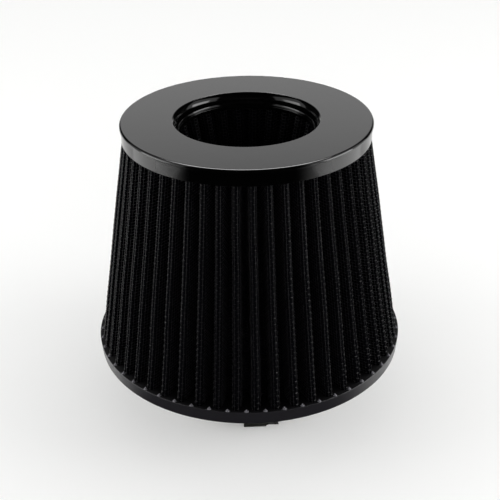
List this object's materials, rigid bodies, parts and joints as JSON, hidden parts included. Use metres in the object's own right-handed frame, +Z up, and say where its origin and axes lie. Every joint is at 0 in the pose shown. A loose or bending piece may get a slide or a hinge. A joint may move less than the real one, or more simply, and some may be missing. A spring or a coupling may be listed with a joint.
{
  "type": "cone air filter",
  "caption": "Tapered pleated intake filter with an open top ring, an inverted inner cone, a moulded base and a clamped pipe neck.",
  "frame": {"origin": "centre of the neck's open end, on the surface that the filter stands on", "axes": "+Z up the cones' axis, from the neck to the cap; -Y towards the clamp's screw, about"},
  "size_m": [0.155, 0.155, 0.148],
  "materials": {
    "moulded_polyurethane": "satin black moulded polyurethane",
    "filter_cloth": "matt black pleated cloth",
    "coated_wire": "black epoxy-coated woven wire",
    "gloss_abs": "gloss black moulded ABS",
    "potting_resin": "black cast resin",
    "stainless_steel": "rolled stainless strip",
    "plated_steel": "bright zinc-plated steel"
  },
  "bodies": {
    "filter": {"base_ring": "moulded_polyurethane", "outer_media": "filter_cloth", "outer_screen": "coated_wire", "top_cap": "gloss_abs", "cap_potting": "potting_resin", "cone_media": "filter_cloth", "cone_screen": "coated_wire", "cone_tip": "moulded_polyurethane", "clamp_band": "stainless_steel", "clamp_housing": "stainless_steel"},
    "screw": {"clamp_screw": "plated_steel"}
  },
  "joints": [
    {"name": "screw_turn", "type": "hinge", "parent": "filter", "child": "screw", "pos_m": [0.00214, -0.04712, 0.0074], "axis": [0.999, 0.0454, 0], "continuous": true}
  ]
}
